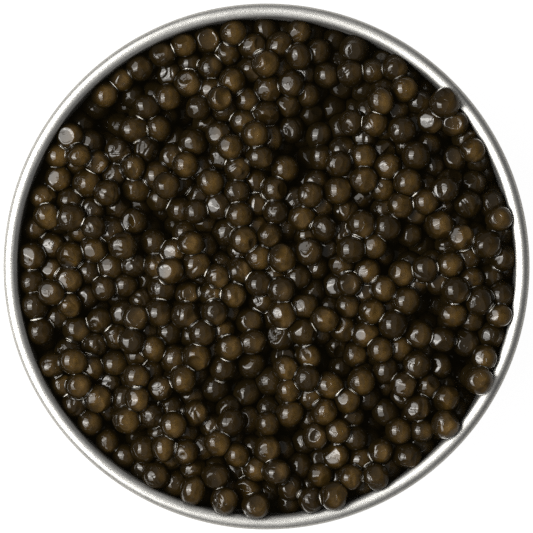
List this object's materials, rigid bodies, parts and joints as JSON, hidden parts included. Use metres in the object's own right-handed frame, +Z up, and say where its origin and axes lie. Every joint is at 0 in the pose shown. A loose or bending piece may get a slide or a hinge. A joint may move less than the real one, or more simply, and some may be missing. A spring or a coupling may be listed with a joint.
{
  "type": "open metal tin of osetra caviar",
  "caption": "Shallow round metal tin with a rolled rim, filled to the brim with loose dark glossy sturgeon roe.",
  "frame": {"origin": "middle of the foot, on the surface the tin stands on", "axes": "+Z up out of the open top; +X to the right and +Y to the top of the picture"},
  "size_m": [0.061, 0.061, 0.0224],
  "materials": {
    "tin": "satin bare metal with fine grain",
    "roe": "wet glossy skin, golden brown to near black"
  },
  "bodies": {
    "root": {"tin": "tin", "roe": "roe"}
  },
  "joints": []
}
